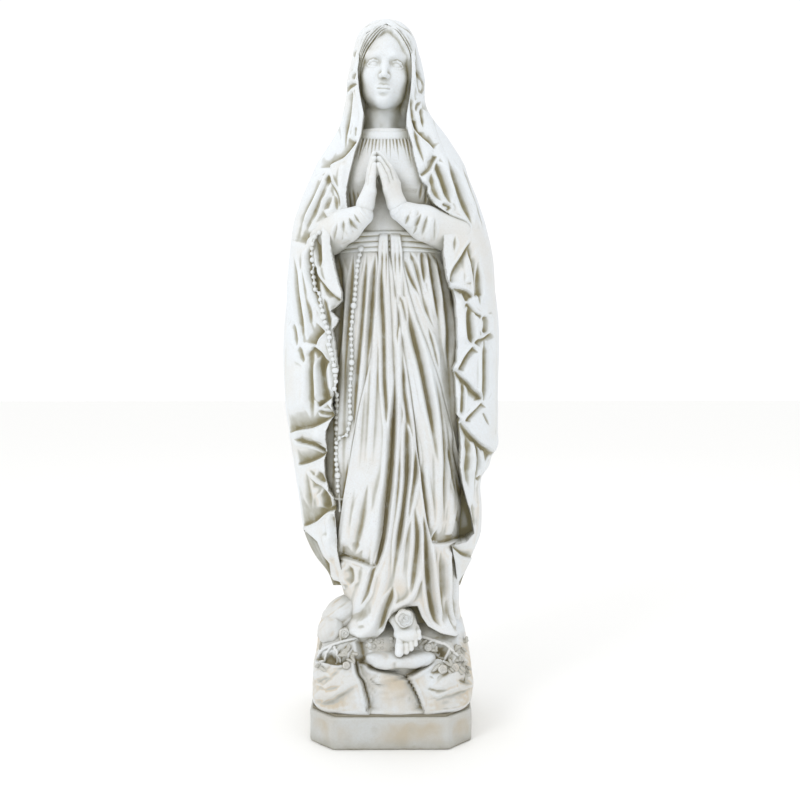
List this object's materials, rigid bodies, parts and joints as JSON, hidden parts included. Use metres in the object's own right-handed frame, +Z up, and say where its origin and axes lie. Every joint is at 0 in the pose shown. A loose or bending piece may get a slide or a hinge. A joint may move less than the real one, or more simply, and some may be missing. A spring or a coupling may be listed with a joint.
{
  "type": "madonna statue",
  "caption": "Free-standing cast-stone garden madonna with joined hands, long veil and mantle, sash and rosary, standing on rocks with roses over a chamfered plinth.",
  "frame": {"origin": "middle of the plinth's underside, on the surface the statue stands on", "axes": "+Z up; the figure faces -Y; +X is the figure's left-hand side"},
  "size_m": [0.3549, 0.27, 1.2],
  "materials": {
    "figure_stone": "matte",
    "ground_stone": "matte",
    "plinth_stone": "matte",
    "mortar": "matte",
    "armature_steel": "satin"
  },
  "bodies": {
    "root": {"skirt": "figure_stone", "bodice": "figure_stone", "sash_band": "figure_stone", "sash_tail_right": "figure_stone", "sash_tail_left": "figure_stone", "collar_band": "figure_stone", "head": "figure_stone", "sleeve_right": "figure_stone", "sleeve_left": "figure_stone", "hand_right": "figure_stone", "hand_left": "figure_stone", "mantle_back": "figure_stone", "mantle_fall_right": "figure_stone", "mantle_fall_left": "figure_stone", "veil": "figure_stone", "foot": "figure_stone", "rosary_beads": "figure_stone", "rosary_cross": "figure_stone", "rock_base": "ground_stone", "stepping_stone": "ground_stone", "foot_rose": "ground_stone", "rose_spray_right": "ground_stone", "rose_spray_left": "ground_stone", "plinth": "plinth_stone", "plinth_bed": "mortar", "armature_bars": "armature_steel", "armature_ties": "armature_steel", "neck_dowel": "armature_steel", "hand_dowels": "armature_steel"}
  },
  "joints": []
}
